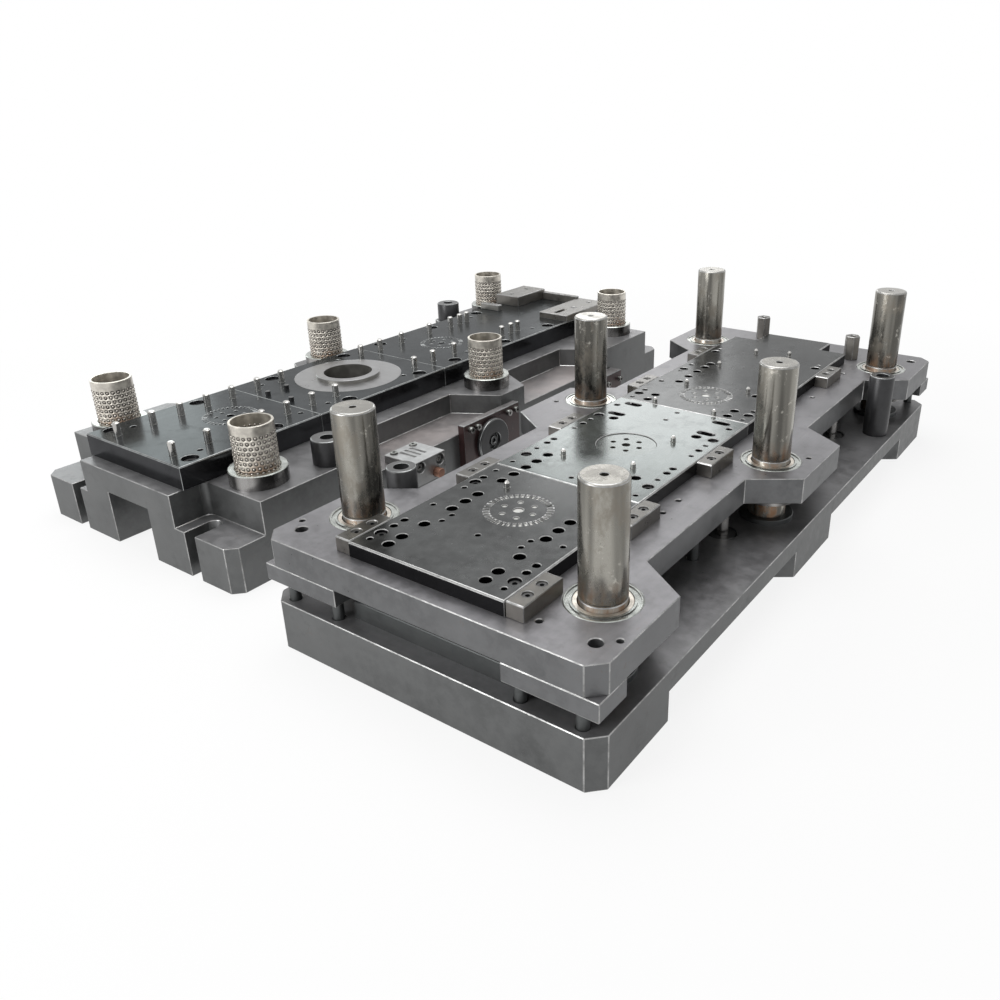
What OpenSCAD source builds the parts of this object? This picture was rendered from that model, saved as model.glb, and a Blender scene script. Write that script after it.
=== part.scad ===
// Opened progressive stamping die, its two halves side by side on the floor.
// The lower half carries the die plates, the guide bushes and the lifter pins.
// The upper half lies on its back, with its punches, sprung stripper and guide posts upwards.

/* [Layout] */
// Free gap between the two halves
half_gap = 148; // [60:1:300]
// How far the lower half stands behind the upper half
half_stagger = 42; // [0:1:120]
// Length of both shoes
shoe_l = 1316; // [1300:1:1500]
// Half the distance between the left and right guide posts
post_x = 198; // [192:1:204]
// Distance of the first and last guide posts from the shoe's ends
post_end = 120; // [110:1:130]
// Place along the shoe of the middle post on the lower half's left side
mid_post_a = 617; // [610:1:626]
// Place along the shoe of the middle post on the lower half's right side
mid_post_b = 700; // [696:1:706]

/* [Strip] */
// Outer diameter of the lamination that the die cuts
lamination_d = 96; // [84:1:100]
// Place along the shoe of the first slotting station
station_1 = 217; // [212:1:222]
// Distance from one main station to the next
station_step = 283; // [278:1:288]
// Slots in one lamination
slot_count = 36; // [24:2:40]
// Width of one slot
slot_w = 3; // [2:0.1:3.4]
// Radial length of one slot
slot_len = 8; // [6:0.5:10]

/* [Lower shoe] */
// Width of the lower shoe
lower_w = 534; // [530:1:560]
// Height of the clamp flange at both ends
flange_h = 80; // [60:1:88]
// Height of the pocket floors along the sides
pocket_z = 97; // [90:1:110]
// Height of the lower shoe's top face
lower_h = 138; // [132:1:160]
// Width of the scrap channel along the underside
channel_w = 115; // [100:1:130]
// Height of the scrap channel
channel_h = 95; // [60:1:100]
// Width of the raised body between the end flanges
body_w = 256; // [250:1:262]
// Length of each end flange
flange_l = 66; // [60:1:75]
// Width of a clamp slot
clamp_slot_w = 27; // [22:1:30]
// Depth of a clamp slot to the middle of its round end
clamp_slot_l = 44; // [36:1:48]
// Distance of a clamp slot from the shoe's centre line
clamp_slot_x = 165; // [160:1:172]
// Depth of the side pockets
lower_pocket = 92; // [80:1:96]
// Length along the shoe of a sloping pocket end
lower_slope = 52; // [40:1:56]
// Corner chamfer of the lower shoe
lower_chamfer = 16; // [8:1:20]
// Radius of the inner corners beside the end flanges
corner_r = 12; // [6:1:16]
// Length of a middle ear at its outer edge
mid_ear_l = 80; // [72:1:90]
// End of the near ears at their outer edge
near_ear_end = 256; // [250:1:266]
// Start of the far ears at their outer edge
far_ear_start = 1052; // [1046:1:1056]

/* [Die plates] */
// Width of the die plates
die_w = 267; // [262:1:270]
// Thickness of the die plates
die_t = 40; // [34:1:46]
// Distance of the die plates from the near end of the shoe
die_start = 24; // [16:1:30]
// Joint between the front and middle die plates
die_joint_1 = 311; // [304:1:328]
// Joint between the middle and rear die plates
die_joint_2 = 643; // [636:1:650]
// Distance of the die plates from the far end of the shoe
die_end = 46; // [40:1:56]
// Bevel along the upper edges of the die plates
plate_bevel = 1.5; // [0.5:0.5:3]
// Diameter of the counterbores for the plate screws
die_cbore_d = 28; // [26:1:30]
// Distance of the plate screws from the centre line
die_screw_x = 112; // [108:1:114]
// Outer diameter of the blanking insert
blank_ring_d = 212; // [190:1:216]
// Diameter of the blanking insert's raised collar
blank_collar_d = 127; // [112:1:130]
// Height of the collar above the die plates
blank_collar_h = 8; // [4:1:12]

/* [Guides] */
// Diameter of the guide posts
post_d = 60; // [56:1:62]
// Diameter of the balls in the cages
ball_d = 6; // [5:0.5:7]
// Running clearance of the balls on each side
ball_clear = 0.05; // [0.02:0.01:0.09]
// Outer diameter of a lower bush
bush_d = 95; // [90:1:98]
// Outer diameter of a lower bush inside the shoe
bush_body_d = 84; // [80:1:88]
// Height of a lower bush above the shoe
bush_h = 25; // [20:1:32]
// Depth of a lower bush in the shoe
bush_depth = 66; // [60:1:70]
// Wall thickness of a ball cage
cage_wall = 3.4; // [2.6:0.2:3.8]
// Length of a lower ball cage
cage_l = 112; // [104:1:120]
// Height of a lower cage above its bush
cage_up = 78; // [70:1:84]
// Rows of balls in a lower cage
cage_rows = 10; // [6:1:11]
// Balls in one row
cage_balls = 20; // [12:1:21]

/* [Lifters] */
// Diameter of the lifter pins
lifter_d = 12; // [10:0.5:12.5]
// Height of the lifter pins above the die plates
lifter_up = 24; // [18:1:30]
// Distance of the lifter pins from the centre line
lifter_x = 79; // [76:1:82]
// Travel of the lifter pins
lifter_travel = 20; // [10:1:22]
// Side clearance of the lifter pins
lifter_clear = 0.3; // [0.2:0.05:0.5]

/* [Upper shoe] */
// Width of the upper shoe and of the stripper
upper_w = 540; // [534:1:560]
// Full thickness of the upper shoe
upper_h = 76; // [70:1:84]
// Thickness of the upper shoe where the clamps hold it
upper_ledge = 31; // [26:1:34]
// Corner chamfer of the upper shoe and the stripper
upper_chamfer = 20; // [12:1:24]
// Depth of the waist notches between the ears
waist_depth = 74; // [66:1:76]
// Length along the shoe of a sloping notch end
waist_slope = 50; // [40:1:54]
// Height of the post collars on the upper shoe
collar_h = 8; // [5:1:9]
// Height of the posts above the stripper holder
post_up = 161; // [140:1:180]
// Chamfer on the top of a post
post_chamfer = 2; // [1:0.5:4]
// Width of the punch plate
punch_plate_w = 266; // [260:1:270]
// Thickness of the punch plate
punch_plate_t = 27; // [24:1:28]
// Distance of the punch plate from the near end of the shoe
punch_start = 28; // [24:1:34]

/* [Stripper] */
// Thickness of the stripper holder
holder_t = 42; // [38:1:46]
// Thickness of the corner pads under the holder
pad_t = 25.5; // [22:0.5:27]
// Open gap between the corner pads and the upper shoe
open_gap = 29; // [28:0.5:32]
// Travel of the stripper against its springs
stripper_travel = 22; // [16:1:24]
// Width of a corner pad
pad_w = 134; // [120:1:140]
// Length of a corner pad along the shoe
pad_l = 57; // [50:1:60]
// Width of the stripper inserts
insert_w = 252; // [248:1:256]
// Thickness of the stripper inserts
insert_t = 22; // [18:1:26]
// Distance of the inserts from the near end
insert_start = 25; // [20:1:28]
// Joint between the front and middle inserts
insert_joint_1 = 325; // [318:1:326]
// Joint between the middle and rear inserts
insert_joint_2 = 689; // [685:1:692]
// Distance of the inserts from the far end
insert_end = 73; // [70:1:80]
// Width of the narrow tongue at the far end of the inserts
tongue_w = 144; // [140:1:150]
// Side clearance of everything that slides through the stripper
slide_gap = 0.3; // [0.2:0.05:0.5]
// Width of a heel block
heel_w = 26; // [22:1:28]
// Length of a heel block
heel_l = 78; // [70:1:84]
// Diameter of the pilots
pilot_d = 8; // [6:0.5:9]
// Height of the pilots above the stripper inserts
pilot_up = 10; // [6:1:14]
// Diameter of the clearance holes for the lifter pins
relief_d = 16; // [15:0.5:18]
// Outer diameter of a stripper bush
guide_ring_d = 96; // [92:1:100]
// Length of a stripper bush
guide_ring_l = 60; // [54:1:62]

/* [Stops and side parts] */
// Diameter of the lower half's height stops
lower_stop_d = 56; // [50:1:58]
// Diameter of the upper half's height stops
upper_stop_d = 47; // [42:1:50]
// Height of the lower half's stops
lower_stop_h = 45; // [30:1:60]
// Height of the upper half's stops
upper_stop_h = 120; // [100:1:124]
// Distance of the stops from the centre line
stop_x = 236; // [233:1:237]
// Distance of the stops from the shoe's ends
stop_y = 234; // [230:1:236]
// Thickness of the near side plate
side_near_t = 16; // [12:1:20]
// Length of the near side plate
side_near_l = 173; // [166:1:180]
// Height of the near side plate
side_near_h = 104; // [102:1:112]
// Height of the near side plate's upper edge
side_near_top = 117; // [114:1:120]
// Thickness of the far side plate
side_far_t = 30; // [16:1:34]
// Length of the far side plate
side_far_l = 83; // [74:1:92]
// Diameter of the round cover on the near side plate
side_disc_d = 92; // [70:1:94]

/* [Hidden] */
$fn = 64;
eps = 1;
half_total_w = (lower_w + half_gap + upper_w) / 2;
half_total_l = (shoe_l + half_stagger) / 2;
lower_pos = [-half_total_w + lower_w / 2, -half_total_l + half_stagger, 0];
upper_pos = [half_total_w - upper_w / 2, -half_total_l, 0];

// Stations along the strip
station_2 = station_1 + station_step;
station_3 = station_2 + station_step;
slot_r = lamination_d / 2 - slot_len / 2;
tie_hole_r = lamination_d / 4;
tie_hole_d = 7;
shaft_hole_d = 14;

// Heights of the lower half
die_top = lower_h + die_t;
bush_top = lower_h + bush_h;
cage_top = bush_top + cage_up;
rail_h = 26;
guide_h = 15;

// Heights of the upper half
pad_z = upper_h + open_gap;
holder_z = pad_z + pad_t;
stripper_top = holder_z + holder_t;
insert_top = stripper_top + insert_t;
punch_top = upper_h + punch_plate_t;
post_top = stripper_top + post_up;
punch_tip = insert_top - 1.5;

// Guide geometry shared by posts, cages and bushes
post_r = post_d / 2;
ball_ring_r = post_r + ball_d / 2;
bush_r = post_r + ball_d;
ball_r = ball_d / 2 - ball_clear;
cage_skin = 0.2;
cage_in = ball_ring_r - cage_wall / 2;
cage_out = ball_ring_r + cage_wall / 2;
post_floor = 12;
post_seat_r = post_r + 1;
seat_gap = 0.05;
far_post = shoe_l - post_end;

// Guide places of the lower half, left side first, and of the upper half turned over
lower_guides = [
    [-post_x, post_end], [post_x, post_end],
    [-post_x, mid_post_a], [post_x, mid_post_b],
    [-post_x, far_post], [post_x, far_post]
];
upper_guides = [for (g = lower_guides) [-g[0], g[1]]];

// Lifter pin places along the shoe
lifter_y = [50, 116, 171, 226, 281, 339, 396, 611, 668, 736, 829, 904, 938, 964];
lifter_head_d = 16;
lifter_head_h = 7.7;
lifter_head_z = lower_h - lifter_head_h - slide_gap;
lifter_foot = lifter_head_z - lifter_travel - 2;
spare_relief_y = [74, 199, 309, 366, 590, 707, 867];
long_relief_y = [611, 668];
long_relief_l = 32;
pilot_x = 58;
pilot_left_y = [266, 408, 697, 819, 960];
pilot_right_y = [424, 550, 697, 840, 980];
pilot_places = concat(
    [for (y = pilot_left_y) [-pilot_x, y]],
    [for (y = pilot_right_y) [pilot_x, y]],
    [[-31, shoe_l - 236], [34, shoe_l - 215]]
);

// Screws in the plates
die_screw_y = [58, 226, 399, 590, 700, 872, shoe_l - 276];
die_shank_d = 16;
die_head_d = 24;
die_head_h = 16;
die_cbore_h = 22;
die_thread_h = 24;
die_dowel_d = 10;
rail_screw_x = 100;
rail_screw_y = [shoe_l - 144, shoe_l - 74];
rail_shank_d = 8;
rail_head_d = 13;
die_dowel_y = [88, 296, 360, 560, 760, shoe_l - 316];
dowel_x = 96;
insert_screw_x = 109;
insert_cbore_y = [67, 256, 380, 590, 728, shoe_l - 411, shoe_l - 266];
insert_dowel_y = [90, 110, 275, 436, 455, 540, 650, 750, shoe_l - 503, shoe_l - 378];
insert_tap_y = [47, 166, 232, 304, 345, 408, 514, 563, 703, shoe_l - 426, shoe_l - 246];
insert_cbore_d = 17;
heel_y = [27, 262, 498, 757, shoe_l - 313];
heel_screw_in = 25;
heel_cbore_d = 14;

// Ears of the two shoes
near_ear_l = 177;
mid_ear_y = [575, 735];
far_ear_y = shoe_l - 171;

// Springs, bolts and standoffs
spring_x = 166;
spring_y = [300, 520, shoe_l - 456, shoe_l - 296];
spring_r = 24;
rod_r = 10;
pad_bolt_x = [152, 238];
bolt_y = 17;
waist_bolt_y = [420, shoe_l - 376];
bolt_places = concat(
    [for (x = pad_bolt_x) [x, bolt_y]],
    [for (x = pad_bolt_x) [x, shoe_l - bolt_y]],
    [for (y = waist_bolt_y) [spring_x, y]]
);
bolt_shoulder = 50;
bolt_top = holder_z + 22;
bolt_r = 8;
bolt_head_r = 12;
bolt_head_h = 14;
bolt_head_z = bolt_shoulder - bolt_head_h - slide_gap;
standoff_places = [[124, 90], [-98, 41]];
standoff_af = 27;
standoff_h = 50;
standoff_hole_h = 24;
lift_hole_d = 17.5;
lift_hole_x = 238;
lift_hole_y = 42;

// Rails and bars at the far end of the lower die
rail_in_x = 61;
rail_y = shoe_l - 166;
rail_cbore_h = 9;
rail_thread_h = 18;
block_in_x = 50;
block_y = shoe_l - 224;
bar_in_x = 75;
bar_y = shoe_l - 232;
bar_l = 16;
end_bar_l = 12;
end_bar_h = 20;

// Small details of the lower die
stub_places = [[-35, 372], [-35, 328], [30, 330]];
stub_d = 10;
stub_in = 12;
stub_up = 8;
blank_relief = 2;
bush_bevel = 1.5;
cage_band = 9;
stop_bore_d = 14;
stop_cbore_h = 14;
stop_far_step = 10;
stop_far_y = shoe_l - stop_y - stop_far_step;

// Parts on the lower half's side
side_screw_d = 8;
side_screw_in = 20;
side_head_d = 13;
side_head_h = 8;
side_near_y = 525;
side_near_screw_y = [for (step = [17, 37, 135, 159]) side_near_y + step];
side_near_screw_z = 105;
side_far_y = shoe_l - 316;
side_far_h = 50;
side_far_top = 87;
side_far_screw_y = [side_far_y + 21, side_far_y + 73];
side_far_screw_z = 67;
cover_y = side_near_y + 81;
cover_z = 62;
cover_h = 9;
cover_hub_d = 22;
cover_hub_in = 18;
cover_recess_d = 36;
cover_recess_h = 8;
cover_boss_h = 6;
cover_hex_d = 11;
block_x0 = lower_w / 2 - 20;
block_x1 = lower_w / 2 + 55;
block_y0 = 347;
block_y1 = 426;
block_top = 112;
block_low = 66;
block_groove_x = [block_x0 + 15, block_x1 - 22];
block_groove_y = [369, 382, 395];
block_groove_w = 6;
block_groove_h = 3;
block_screw_places = [[block_x0 + 10, 362], [block_x0 + 10, 411]];
block_screw_in = 18;
block_screw_seat = 5;
block_side_places = [[362, 99.5], [412, 99.5]];
block_side_cbore_d = 21;
block_side_cbore_h = 12;
block_side_shank_l = 34;
rod_y = 401;
rod_z = 78;
side_rod_r = 9;
side_rod_in = 30;
side_rod_out = 12;

// Details of the upper half
shoe_ear_l = 160;
post_foot = 10;
post_hole_d = 10;
post_groove_up = 6;
post_groove_w = 3;
post_groove_in = 0.6;
post_collar_d = 86;
spring_foot = 12;
spring_top = upper_h - 2;
rod_foot = spring_foot + 40;
punch_block_h = 22;
punch_block_r = lamination_d / 2 + 4;
window_r = punch_block_r + 2;
pilot_foot = upper_h + 4;
tongue_l = 62;
relief_depth = 25;
insert_screw_d = 8;
insert_head_h = 8;
insert_cbore_h = 12;
insert_dowel_d = 11;
insert_tap_d = 8;
insert_thread_h = 20;
heel_x = insert_w / 2;
heel_screw_x = heel_x + heel_w / 2;
heel_cbore_h = 10;
long_relief_x = 86;
long_relief_w = 15;
middle_holes = [
    [-66, 136], [-66, 156], [66, 136], [66, 156], [0, 131], [0, 322], [0, 345], [0, 631], [0, 672]
];
middle_hole_d = 8;
holder_holes = [[162, 42], [258, 60], [246, 656], [146, 357], [146, 404], [146, shoe_l - 377], [146, shoe_l - 201]];
holder_hole_d = 9;
holder_hole_h = 20;
lift_hole_h = 34;
standoff_hole_d = 12;

// Guide bushes and cages in the stripper
flange_r = post_r + 7;
flange_t = 3;
flange_seat = 4;
flange_gap = 0.4;
groove_in = flange_r + 3.5;
groove_out = guide_ring_d / 2 - 2.5;
groove_h = 1.5;
small_cage_l = 57;
small_cage_rows = 5;
small_cage_top = stripper_top - flange_seat + flange_gap + flange_t;

FIXED_NODES = [
    "lower_shoe", "die_plate_front", "die_plate_middle", "die_plate_rear", "blanking_ring",
    "guide_bushes", "feed_rail", "guide_block_left", "guide_block_right", "end_bar",
    "lower_stops", "side_plate_near", "side_plate_far", "side_cover", "side_block",
    "side_screws", "die_screws", "upper_shoe", "guide_posts", "post_collars",
    "punch_plate", "slot_punches", "blanking_punch", "pilots", "gas_springs", "upper_stops"
];
STRIPPER_NODES = [
    "stripper_holder", "stripper_pads", "insert_front", "insert_middle", "insert_rear",
    "heel_blocks", "stripper_screws", "stripper_bushes", "stripper_bolts", "spring_rods",
    "hex_standoffs", "stripper_cages"
];

// Shared helpers

module on_lower() {
    translate(lower_pos) children();
}

module on_upper() {
    translate(upper_pos) children();
}

module both_sides() {
    children();
    mirror([1, 0, 0]) children();
}

module both_ends() {
    children();
    translate([0, shoe_l, 0]) mirror([0, 1, 0]) children();
}

module chamfered_plan(w, l, c) {
    x = w / 2;
    polygon([
        [-x + c, 0], [x - c, 0], [x, c], [x, l - c],
        [x - c, l], [-x + c, l], [-x, l - c], [-x, c]
    ]);
}

// Notch with sloping ends in the right-hand edge, from y0 to y1 at the edge
module edge_notch(edge, depth, slope, y0, y1) {
    k = slope / depth;
    over = 10;
    polygon([
        [edge + over, y0 - over * k], [edge - depth, y0 + slope],
        [edge - depth, y1 - slope], [edge + over, y1 + over * k]
    ]);
}

// Vertical hole that runs past both faces of a plate
module drill(d, z0, z1) {
    translate([0, 0, z0 - eps]) cylinder(d = d, h = z1 - z0 + 2 * eps);
}

// Hole with a counterbore from the upper face
module cbore(d, head_d, head_h, z0, z1) {
    drill(d, z0, z1);
    translate([0, 0, z1 - head_h]) cylinder(d = head_d, h = head_h + eps);
}

// Block with its four upper edges bevelled
module bevelled_block(x0, x1, y0, y1, z0, z1, b) {
    translate([x0, 0, 0]) rotate([90, 0, 90]) intersection() {
        linear_extrude(x1 - x0) polygon([
            [y0, z0], [y1, z0], [y1, z1 - b], [y1 - b, z1], [y0 + b, z1], [y0, z1 - b]
        ]);
        rotate([90, 0, 90]) translate([0, 0, y0]) linear_extrude(y1 - y0) polygon([
            [z0, 0], [z1 - b, 0], [z1, b], [z1, x1 - x0 - b], [z1 - b, x1 - x0], [z0, x1 - x0]
        ]);
    }
}

// Ring of radial slots, one lamination wide
module slot_ring(extra, z0, z1) {
    for (i = [0 : slot_count - 1]) rotate(i * 360 / slot_count)
        translate([slot_r - slot_len / 2 - extra, -slot_w / 2 - extra, z0])
            cube([slot_len + 2 * extra, slot_w + 2 * extra, z1 - z0]);
}

module tie_ring() {
    for (a = [0 : 60 : 300]) rotate(a) translate([tie_hole_r, 0, 0]) children();
}

// Socket head cap screw with its head downwards from z
module cap_screw(head_d, head_h, z, shank_d, shank_l) {
    difference() {
        union() {
            translate([0, 0, z - head_h]) cylinder(d = head_d, h = head_h);
            translate([0, 0, z - head_h - shank_l]) cylinder(d = shank_d, h = shank_l);
        }
        translate([0, 0, z - head_h / 2]) cylinder(d = head_d / 2, h = head_h, $fn = 6);
    }
}

// Ball cage with its rows of balls staggered by half a pitch
module cage(len_z, rows, z0, plain) {
    pitch = (len_z - plain - ball_d) / rows;
    difference() {
        cylinder(r = cage_out, h = len_z);
        translate([0, 0, -eps]) cylinder(r = cage_in, h = len_z + 2 * eps);
    }
    for (row = [0 : rows - 1]) translate([0, 0, z0 + row * pitch])
        linear_extrude(2 * ball_r) {
            difference() {
                circle(r = cage_out - cage_skin);
                circle(r = cage_in + cage_skin);
            }
            for (i = [0 : cage_balls - 1])
                rotate((i + (row % 2) / 2) * 360 / cage_balls)
                    translate([ball_ring_r, 0]) circle(r = ball_r, $fn = 24);
        }
}

// Lower half

module raised_plan() {
    translate([-lower_w / 2, flange_l]) square([lower_w, shoe_l - 2 * flange_l]);
    translate([-body_w / 2, 0]) square([body_w, shoe_l]);
    both_sides() both_ends() translate([body_w / 2 - eps, flange_l - corner_r]) difference() {
        square(corner_r + eps);
        translate([corner_r + eps, 0]) circle(r = corner_r);
    }
}

module lower_pockets(mid_y) {
    edge_notch(lower_w / 2, lower_pocket, lower_slope, near_ear_end, mid_y - mid_ear_l / 2);
    edge_notch(lower_w / 2, lower_pocket, lower_slope, mid_y + mid_ear_l / 2, far_ear_start);
}

module clamp_slot() {
    translate([clamp_slot_x, 0, -eps]) linear_extrude(flange_h + 2 * eps) {
        translate([0, clamp_slot_l]) circle(d = clamp_slot_w);
        translate([-clamp_slot_w / 2, -eps]) square([clamp_slot_w, clamp_slot_l + eps]);
    }
}

module bush_seat() {
    seat_z = lower_h - bush_depth;
    translate([0, 0, seat_z]) cylinder(d = bush_body_d + 2 * seat_gap, h = bush_depth + eps);
    translate([0, 0, post_floor]) cylinder(r = post_seat_r, h = lower_h);
}

module lower_shoe() {
    color([0.56, 0.56, 0.55]) on_lower() difference() {
        union() {
            linear_extrude(flange_h) chamfered_plan(lower_w, shoe_l, lower_chamfer);
            linear_extrude(pocket_z) raised_plan();
            linear_extrude(lower_h) difference() {
                raised_plan();
                lower_pockets(mid_post_b);
                mirror([1, 0]) lower_pockets(mid_post_a);
            }
        }
        translate([-channel_w / 2, -eps, -eps]) cube([channel_w, shoe_l + 2 * eps, channel_h + eps]);
        both_sides() both_ends() clamp_slot();
        for (g = lower_guides) translate([g[0], g[1], 0]) bush_seat();
        for (y = [station_1, station_2, station_3])
            translate([0, y, 0]) drill(lamination_d + 6, channel_h, lower_h);
        both_sides() {
            for (y = lifter_y) translate([lifter_x, y, lifter_foot])
                cylinder(d = lifter_head_d + 2 * lifter_clear, h = lower_h);
            for (y = die_screw_y) translate([die_screw_x, y, lower_h - die_thread_h - 2])
                cylinder(d = die_shank_d + 2 * seat_gap, h = lower_h);
        }
        for (y = side_far_screw_y)
            translate([lower_w / 2 - side_screw_in - 2, y, side_far_screw_z]) rotate([0, 90, 0])
                cylinder(d = side_screw_d + 2 * seat_gap, h = side_screw_in + 2 + eps);
        translate([lower_w / 2 - cover_hub_in - 2, cover_y, cover_z]) rotate([0, 90, 0])
            cylinder(d = cover_hub_d + 2 * seat_gap, h = cover_hub_in + 2 + eps);
        for (p = block_screw_places) translate([p[0], p[1], pocket_z - block_screw_in - 2])
            cylinder(d = side_screw_d + 2 * seat_gap, h = block_screw_in + 2 + eps);
    }
}

module die_plate(y0, y1) {
    difference() {
        bevelled_block(-die_w / 2, die_w / 2, y0, y1, lower_h, die_top, plate_bevel);
        both_sides() {
            for (y = lifter_y) if (y > y0 && y < y1)
                translate([lifter_x, y, 0]) drill(lifter_d + 2 * lifter_clear, lower_h, die_top);
            for (y = die_screw_y) if (y > y0 && y < y1) translate([die_screw_x, y, 0])
                cbore(die_shank_d + 2 * seat_gap, die_cbore_d, die_cbore_h, lower_h, die_top);
            for (y = die_dowel_y) if (y > y0 && y < y1)
                translate([dowel_x, y, 0]) drill(die_dowel_d, lower_h, die_top);
        }
        children();
    }
}

module slot_windows() {
    slot_ring(0, lower_h - eps, die_top + eps);
    tie_ring() drill(tie_hole_d, lower_h, die_top);
    drill(shaft_hole_d, lower_h, die_top);
}

module die_plate_front() {
    color([0.33, 0.34, 0.34]) on_lower() die_plate(die_start, die_joint_1)
        translate([0, station_1, 0]) slot_windows();
}

module die_plate_middle() {
    color([0.31, 0.32, 0.32]) on_lower() die_plate(die_joint_1, die_joint_2) {
        translate([0, station_2, 0]) drill(blank_ring_d + 2 * seat_gap, lower_h, die_top);
        for (p = stub_places) translate([p[0], p[1], die_top - stub_in])
            cylinder(d = stub_d, h = stub_in + eps);
    }
}

module die_plate_rear() {
    color([0.33, 0.34, 0.34]) on_lower() die_plate(die_joint_2, shoe_l - die_end) {
        translate([0, station_3, 0]) slot_windows();
        both_sides() for (y = rail_screw_y) translate([rail_screw_x, y, die_top - rail_thread_h - 2])
            cylinder(d = rail_shank_d + 2 * seat_gap, h = die_t);
    }
}

module blanking_ring() {
    bore_r = lamination_d / 2;
    color([0.68, 0.67, 0.64]) on_lower() translate([0, station_2, lower_h]) rotate_extrude($fn = 96)
        polygon([
            [bore_r + blank_relief, 0], [blank_ring_d / 2, 0], [blank_ring_d / 2, die_t],
            [blank_collar_d / 2, die_t], [blank_collar_d / 2, die_t + blank_collar_h - 1],
            [blank_collar_d / 2 - 1, die_t + blank_collar_h], [bore_r, die_t + blank_collar_h],
            [bore_r, die_t / 2], [bore_r + blank_relief, die_t / 2]
        ]);
}

module guide_bush() {
    rotate_extrude($fn = 96) polygon([
        [bush_r, lower_h - bush_depth], [bush_body_d / 2, lower_h - bush_depth],
        [bush_body_d / 2, lower_h], [bush_d / 2, lower_h], [bush_d / 2, bush_top - bush_bevel],
        [bush_d / 2 - bush_bevel, bush_top], [bush_r + 1, bush_top], [bush_r, bush_top - 1]
    ]);
}

module guide_bushes() {
    color([0.62, 0.61, 0.58]) on_lower()
        for (g = lower_guides) translate([g[0], g[1], 0]) guide_bush();
}

module rail_screw_holes(z1) {
    for (y = rail_screw_y) translate([rail_screw_x, y, 0])
        cbore(rail_shank_d + 2 * seat_gap, rail_head_d + 2, rail_cbore_h, die_top, z1);
}

module feed_rail() {
    color([0.5, 0.5, 0.48]) on_lower() mirror([1, 0, 0]) difference() {
        bevelled_block(rail_in_x, die_w / 2, rail_y, shoe_l - die_end, die_top, die_top + rail_h, 1);
        rail_screw_holes(die_top + rail_h);
    }
}

module guide_block_right() {
    slot_l = 46;
    slot_d = 13;
    color([0.55, 0.55, 0.53]) on_lower() difference() {
        bevelled_block(block_in_x, die_w / 2, block_y, shoe_l - die_end,
            die_top, die_top + guide_h, 1);
        rail_screw_holes(die_top + guide_h);
        translate([(block_in_x + die_w / 2) / 2, block_y + 18, die_top - eps])
            linear_extrude(guide_h + 2 * eps) {
                circle(d = slot_d);
                translate([0, slot_l - slot_d]) circle(d = slot_d);
                translate([-slot_d / 2, 0]) square([slot_d, slot_l - slot_d]);
            }
    }
}

module guide_block_left() {
    color([0.72, 0.72, 0.7]) on_lower()
        bevelled_block(-die_w / 2, -bar_in_x, bar_y, bar_y + bar_l, die_top, die_top + guide_h, 1);
}

module end_bar() {
    color([0.5, 0.5, 0.48]) on_lower()
        bevelled_block(-rail_in_x, block_in_x, shoe_l - die_end - end_bar_l, shoe_l - die_end,
            die_top, die_top + end_bar_h, 1);
}

module stop_body(d, z0, h) {
    difference() {
        union() {
            translate([0, 0, z0]) cylinder(d = d, h = h - 2);
            translate([0, 0, z0 + h - 2]) cylinder(d1 = d, d2 = d - 3, h = 2);
        }
        cbore(stop_bore_d, stop_bore_d + 10, stop_cbore_h, z0, z0 + h);
    }
}

module lower_stops() {
    color([0.08, 0.08, 0.08]) on_lower() {
        translate([stop_x, stop_y, 0]) stop_body(lower_stop_d, lower_h, lower_stop_h);
        translate([-stop_x, stop_far_y, 0]) stop_body(lower_stop_d, lower_h, lower_stop_h);
    }
}

module side_plate(t, y0, len, z0, z1, screws, screw_z) {
    translate([lower_w / 2, 0, 0]) difference() {
        bevelled_block(0, t, y0, y0 + len, z0, z1, 1);
        for (y = screws) translate([-eps, y, screw_z]) rotate([0, 90, 0])
            cylinder(d = side_screw_d + 2 * seat_gap, h = t + 2 * eps);
        children();
    }
}

module side_plate_near() {
    color([0.27, 0.16, 0.15]) on_lower()
        side_plate(side_near_t, side_near_y, side_near_l, side_near_top - side_near_h,
            side_near_top, side_near_screw_y, side_near_screw_z)
            translate([-eps, cover_y, cover_z]) rotate([0, 90, 0])
                cylinder(d = cover_hub_d + 2 * seat_gap, h = side_near_t + 2 * eps);
}

module side_plate_far() {
    color([0.27, 0.17, 0.16]) on_lower()
        side_plate(side_far_t, side_far_y, side_far_l, side_far_top - side_far_h,
            side_far_top, side_far_screw_y, side_far_screw_z);
}

module side_cover() {
    face = side_near_t + cover_h;
    recess_foot = face - cover_recess_h;
    color([0.12, 0.12, 0.12]) on_lower()
        translate([lower_w / 2, cover_y, cover_z]) rotate([0, 90, 0]) difference() {
            union() {
                translate([0, 0, -cover_hub_in]) cylinder(d = cover_hub_d, h = recess_foot + cover_hub_in);
                difference() {
                    union() {
                        translate([0, 0, side_near_t]) cylinder(d = side_disc_d, h = cover_h - 2);
                        translate([0, 0, face - 2]) cylinder(d1 = side_disc_d, d2 = side_disc_d - 4, h = 2);
                    }
                    translate([0, 0, recess_foot]) cylinder(d = cover_recess_d, h = cover_h);
                }
                translate([0, 0, recess_foot - eps]) cylinder(d = cover_hub_d - 2, h = cover_boss_h + eps);
            }
            translate([0, 0, recess_foot - 2]) cylinder(d = cover_hex_d, h = cover_h, $fn = 6);
        }
}

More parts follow.
